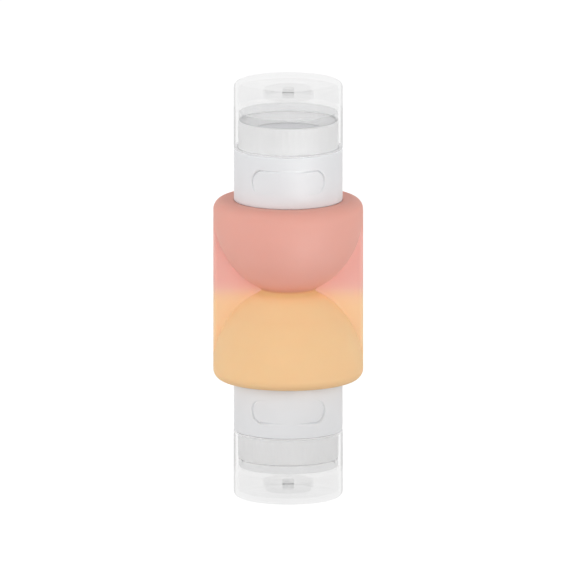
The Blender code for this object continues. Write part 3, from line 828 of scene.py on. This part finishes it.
def add_finish(tree, shader, surface, tone_scale, grain_scale, roughness, grain_depth):
    """Roughness that varies with the tone, and a bump from the grain. Returns the tone."""
    finish = add_node(tree, "Group", {"node_tree": surface},
                      {"Tone Scale": tone_scale, "Grain Scale": grain_scale})
    tone = finish.outputs["Tone"]
    bump = add_node(tree, "Bump", values={"Strength": 1.0, "Distance": grain_depth})
    tree.links.new(spread(tree, tone, *TONE_RANGE, *roughness), shader.inputs["Roughness"])
    tree.links.new(finish.outputs["Grain"], bump.inputs["Height"])
    tree.links.new(bump.outputs["Normal"], shader.inputs["Normal"])
    return tone


def drifting(tree, tone, low, high):
    """A colour that drifts between two near shades with the tone of the surface."""
    return blend_colours(tree, spread(tree, tone, *TONE_RANGE), low, high)


def add_drifting_colour(tree, shader, tone, shades):
    low, high = (screen_colour(*shade) for shade in shades)
    tree.links.new(drifting(tree, tone, low, high), shader.inputs["Base Color"])


def height_blend(tree, height, stops):
    """A colour ramp over the height from the middle."""
    lowest, highest = stops[0][0], stops[-1][0]
    ramp = add_node(tree, "ValToRGB")
    while len(ramp.color_ramp.elements) < len(stops):
        ramp.color_ramp.elements.new(0.5)
    for element, (level, colour) in zip(ramp.color_ramp.elements, stops):
        element.position = (level - lowest) / (highest - lowest)
        element.color = screen_colour(*colour)
    tree.links.new(spread(tree, height, lowest, highest), ramp.inputs["Fac"])
    return ramp.outputs["Color"]


def silicone(surface, place_group):
    """Matt silicone, orange below the waist and pink above it, with painted light that makes the thin web
    paler and painted shade in the fold at the waist.
    """
    material, tree, shader = start_material("blended_silicone", {
        "Subsurface Weight": 0.3,
        "Subsurface Radius": (1.0, 0.6, 0.45),
        "Subsurface Scale": 1.5 * MM,
        "Specular IOR Level": 0.07,
    })
    tone = add_finish(tree, shader, surface, tone_scale=90.0, grain_scale=3200.0, roughness=(0.56, 0.64),
                      grain_depth=0.004 * MM)
    place = add_node(tree, "Group", {"node_tree": place_group}).outputs
    # Painted shade: the silicone is darkened in the fold at the waist
    in_painted_fold_shade = fade(tree, place["Radius"], *WITHIN_PAINTED_FOLD_SHADE)
    bowl = blend_colours(tree, in_painted_fold_shade, height_blend(tree, place["Height"], BOWL_BLEND), FOLD_PAINTED_SHADE,
                         "MULTIPLY")
    beyond_face = combine(tree, "SUBTRACT", place["Side"], WEB_HALF_THICKNESS / MM)
    # Painted light: the web's flat faces take the paler colours
    on_painted_light_web = combine(tree, "MULTIPLY", fade(tree, beyond_face, *WEB_FACE),
                     fade(tree, place["Distance"], *WEB_MIDDLE))
    colour = blend_colours(tree, on_painted_light_web, bowl, height_blend(tree, place["Height"], WEB_BLEND_WITH_PAINTED_LIGHT))
    colour = blend_colours(tree, 1.0, colour, drifting(tree, tone, *SILICONE_DRIFT), "MULTIPLY")
    tree.links.new(colour, shader.inputs["Base Color"])
    return material


def white_plastic(name, surface, shades):
    """Satin white plastic."""
    material, tree, shader = start_material(name, {
        "Subsurface Weight": 0.4,
        "Subsurface Radius": (1.0, 1.0, 1.0),
        "Subsurface Scale": 1.2 * MM,
        "Specular IOR Level": 0.25,
    })
    tone = add_finish(tree, shader, surface, tone_scale=70.0, grain_scale=4200.0, roughness=(0.46, 0.56),
                      grain_depth=0.002 * MM)
    add_drifting_colour(tree, shader, tone, shades)
    return material


def soft_seal(name, surface, shades, opacity=1.0):
    """Soft milky elastomer."""
    material, tree, shader = start_material(name, {"Specular IOR Level": 0.3, "Alpha": opacity})
    tone = add_finish(tree, shader, surface, tone_scale=120.0, grain_scale=2600.0, roughness=(0.45, 0.6),
                      grain_depth=0.003 * MM)
    add_drifting_colour(tree, shader, tone, shades)
    return material


def clear_plastic(surface, place_group):
    """Clear plastic: its outer skin tints more than its inner one, most of all at the limbs of its wall,
    with painted refraction that darkens the limbs beside the head, and painted light that makes its open
    edge pale and glowing."""
    material, tree, shader = start_material("clear_plastic", {
        "Specular IOR Level": 0.5,
        "Emission Strength": PAINTED_RIM_GLOW,
    })
    add_finish(tree, shader, surface, tone_scale=50.0, grain_scale=900.0, roughness=(0.06, 0.12),
               grain_depth=0.001 * MM)
    place = add_node(tree, "Group", {"node_tree": place_group}).outputs
    distance, radius = place["Distance"], place["Radius"]
    upwards = split_vector(tree, add_node(tree, "TexCoord").outputs["Normal"])[2]
    turned_away = add_node(tree, "LayerWeight").outputs["Facing"]

    upright = fade(tree, combine(tree, "ABSOLUTE", upwards), *UPRIGHT)
    beside_head = fade(tree, distance, *BESIDE_HEAD)
    wall = fade(tree, radius, *OUTER_WALL)
    skin = combine(tree, "MAXIMUM", wall, fade(tree, distance, *END_FACE))
    wall_limb = combine(tree, "MULTIPLY", wall, fade(tree, turned_away, *WALL_LIMB))
    end_limb = combine(tree, "MULTIPLY", skin, fade(tree, turned_away, *END_LIMB))
    limb = combine(tree, "MAXIMUM", wall_limb, end_limb)
    # Painted light: the open edge is pale, more opaque and glowing, over the shaded ledge beneath it
    edge = fade(tree, distance, *PAINTED_LIGHT_OPEN_EDGE)
    painted_light_rim = combine(tree, "MULTIPLY", edge, combine(tree, "SUBTRACT", 1.0, upright))

    ring_and_pin = combine(tree, "MAXIMUM", fade(tree, radius, *WITHIN_RING, 0.0, RING_OPACITY),
                           fade(tree, radius, *WITHIN_PIN, 0.0, PIN_OPACITY))
    inside = combine(tree, "MAXIMUM", combine(tree, "MULTIPLY", ring_and_pin, upright), INSIDE_OPACITY)
    outside = fade(tree, beside_head, 0.0, 1.0, OUTSIDE_OPACITY, BESIDE_HEAD_OPACITY)
    limb_opacity = fade(tree, beside_head, 0.0, 1.0, LIMB_OPACITY, PAINTED_REFRACTION_OPACITY)
    opacity = combine(tree, "MULTIPLY_ADD", skin, combine(tree, "SUBTRACT", outside, inside), inside)
    for share, of_share in ((limb, limb_opacity), (edge, PAINTED_EDGE_LIGHT_OPACITY), (painted_light_rim, PAINTED_RIM_LIGHT_OPACITY)):
        opacity = combine(tree, "MAXIMUM", opacity, combine(tree, "MULTIPLY", share, of_share))

    clear_tint, painted_refraction_tint, painted_edge_tint = (screen_colour(*tint)
                                             for tint in (CLEAR_TINT, PAINTED_REFRACTION_TINT, PAINTED_EDGE_LIGHT_TINT))
    # Painted refraction: a darker limb beside the head, where the head and the gap show through
    painted_refraction_limb = combine(tree, "MULTIPLY", limb, beside_head)
    tint = blend_colours(tree, painted_refraction_limb, clear_tint, painted_refraction_tint)
    tint = blend_colours(tree, edge, tint, painted_edge_tint)
    # Painted light: the glow of the open rim
    glow = blend_colours(tree, painted_light_rim, grey(0), painted_edge_tint)
    tree.links.new(tint, shader.inputs["Base Color"])
    tree.links.new(opacity, shader.inputs["Alpha"])
    tree.links.new(glow, shader.inputs["Emission Color"])
    return material


# ---------------------------------------------------------------- studio

VIEW_ELEVATION = radians(11)
VIEW_WIDTH = 0.18432
VIEW_TARGET = Vector((-0.08 * MM, 0, MIDDLE_HEIGHT + 0.12 * MM))
CAMERA_DISTANCE = 0.6
BOTTLE_MIDDLE = Vector((0, 0, MIDDLE_HEIGHT))
UPPER_BOWL = Vector((8 * MM, -21 * MM, MIDDLE_HEIGHT + 16 * MM))
DOME_START = radians(15)        # the studio's dome darkens from here up
DOME_END = radians(60)
HORIZON_LIGHT = 1.12
OVERHEAD_LIGHT = 0.32
FLOOR_RADIUS = 1.6
FLOOR_STEPS = 96
FLOOR_DROP = 0.02 * MM          # keeps the floor off the face on which the bottle stands
FLOOR_BOUNCE = 0.78             # share of the light that the floor gives back to the bottle
FLOOR_LIGHT = 0.30              # the level at which the studio lights the bare floor
SHADOW_SHARE = 0.20             # how much of the floor's own shading the camera sees


def face_target(item, target, backwards, distance):
    """Puts a camera or a lamp at a distance from its target and turns it there."""
    item.location = target + backwards * distance
    item.rotation_mode = "QUATERNION"
    item.rotation_quaternion = (-backwards).to_track_quat("-Z", "Y")
    bpy.context.scene.collection.objects.link(item)


def add_camera():
    data = bpy.data.cameras.new("camera")
    data.type = "ORTHO"
    data.ortho_scale = VIEW_WIDTH
    camera = bpy.data.objects.new("camera", data)
    backwards = Vector((0, -cos(VIEW_ELEVATION), sin(VIEW_ELEVATION)))
    face_target(camera, VIEW_TARGET, backwards, CAMERA_DISTANCE)
    bpy.context.scene.camera = camera


def add_softbox(name, target, azimuth, elevation, distance, width, height, power, spread_angle=pi):
    """A soft lamp that faces the target; azimuth 0 is in front of the bottle and 90 at its right."""
    data = bpy.data.lights.new(name, "AREA")
    data.shape = "RECTANGLE"
    data.size = width
    data.size_y = height
    data.energy = power
    data.spread = spread_angle
    lamp = bpy.data.objects.new(name, data)
    lamp.visible_camera = False
    backwards = Vector((sin(azimuth) * cos(elevation), -cos(azimuth) * cos(elevation), sin(elevation)))
    face_target(lamp, target, backwards, distance)
    return lamp


def seen_by_eye(tree):
    """1 for rays from the camera, and for those that glossy and clear surfaces pass on."""
    path = add_node(tree, "LightPath").outputs
    passed_on = combine(tree, "MAXIMUM", path["Is Glossy Ray"], path["Is Transmission Ray"])
    return combine(tree, "MAXIMUM", path["Is Camera Ray"], passed_on)


def add_floor():
    """White floor that shows the bottle's shadow and gives plain diffuse light back to the bottle."""
    shape = bmesh.new()
    bmesh.ops.create_circle(shape, cap_ends=True, segments=FLOOR_STEPS, radius=FLOOR_RADIUS)
    mesh = bpy.data.meshes.new("floor")
    shape.to_mesh(mesh)
    shape.free()
    floor = bpy.data.objects.new("floor", mesh)
    floor.location.z = -FLOOR_DROP
    bpy.context.scene.collection.objects.link(floor)
    material = bpy.data.materials.new("white_floor")
    material.use_nodes = True
    tree = material.node_tree
    tree.nodes.remove(tree.nodes["Principled BSDF"])
    lit = add_node(tree, "BsdfDiffuse", values={"Color": grey(FLOOR_BOUNCE)})
    shaded = add_node(tree, "BsdfDiffuse", values={"Color": grey(SHADOW_SHARE)})
    glow = add_node(tree, "Emission", values={"Strength": 1 - SHADOW_SHARE * FLOOR_LIGHT})
    seen = add_node(tree, "AddShader")
    mix = add_node(tree, "MixShader")
    tree.links.new(glow.outputs["Emission"], seen.inputs[0])
    tree.links.new(shaded.outputs["BSDF"], seen.inputs[1])
    tree.links.new(seen_by_eye(tree), mix.inputs["Fac"])
    tree.links.new(lit.outputs["BSDF"], mix.inputs[1])
    tree.links.new(seen.outputs["Shader"], mix.inputs[2])
    tree.links.new(mix.outputs["Shader"], tree.nodes["Material Output"].inputs["Surface"])
    mesh.materials.append(material)


def add_world():
    """White all round to the eye; the light that it gives is stronger from the sides than from above."""
    world = bpy.data.worlds.new("studio")
    bpy.context.scene.world = world
    world.use_nodes = True
    tree = world.node_tree
    background = tree.nodes["Background"]
    background.inputs["Color"].default_value = grey(1)
    upwards = split_vector(tree, add_node(tree, "TexCoord").outputs["Generated"])[2]
    light = fade(tree, upwards, sin(DOME_START), sin(DOME_END), HORIZON_LIGHT, OVERHEAD_LIGHT)
    level = add_node(tree, "Mix", {"data_type": "FLOAT"}, {"B": 1.0})
    tree.links.new(seen_by_eye(tree), level.inputs["Factor"])
    tree.links.new(light, level.inputs["A"])
    tree.links.new(level.outputs["Result"], background.inputs["Strength"])


def add_lamps():
    add_softbox("right_softbox", BOTTLE_MIDDLE, azimuth=radians(59), elevation=radians(8), distance=0.50,
                width=0.08, height=0.30, power=0.25)
    add_softbox("left_softbox", BOTTLE_MIDDLE, azimuth=radians(-60), elevation=radians(10), distance=0.50,
                width=0.20, height=0.30, power=0.35)
    add_softbox("front_softbox", BOTTLE_MIDDLE, azimuth=radians(10), elevation=radians(12), distance=0.70,
                width=0.40, height=0.30, power=0.48)
    gloss_card = add_softbox("gloss_card", UPPER_BOWL, azimuth=radians(36), elevation=radians(-38),
                             distance=0.10, width=0.14, height=0.08, power=0.16, spread_angle=radians(40))
    gloss_card.visible_diffuse = False
    # Looks straight down into the upper head
    top_lamp = add_softbox("top_lamp", BOTTLE_MIDDLE, azimuth=0, elevation=radians(90), distance=0.13,
                           width=0.030, height=0.030, power=0.0007, spread_angle=radians(10))
    top_lamp.data.shape = "DISK"


def main():
    add_camera()
    add_floor()
    add_world()
    add_lamps()
    bpy.context.scene.view_settings.view_transform = "Standard"
    surface = moulded_surface()
    place_group = place_on_bottle()
    squeeze_body(silicone(surface, place_group))
    collar_white = white_plastic("collar_white", surface, COLLAR_WHITE)
    head_white = white_plastic("head_white", surface, HEAD_WHITE)
    cap_clear = clear_plastic(surface, place_group)
    gasket_grey = soft_seal("gasket_grey", surface, GASKET_GREY)
    seal_milky = soft_seal("seal_milky", surface, SEAL_MILKY, SEAL_OPACITY)
    valve_grey = soft_seal("valve_grey", surface, VALVE_GREY)
    for end in ("upper", "lower"):
        collar(end, collar_white)
        neck_insert(end, head_white)
        neck_gasket(end, gasket_grey)
        dispensing_head(end, head_white)
        slit_valve(end, valve_grey)
        retaining_ring(end, head_white)
        clear_cap(end, cap_clear)
        cap_seal(end, seal_milky)


main()
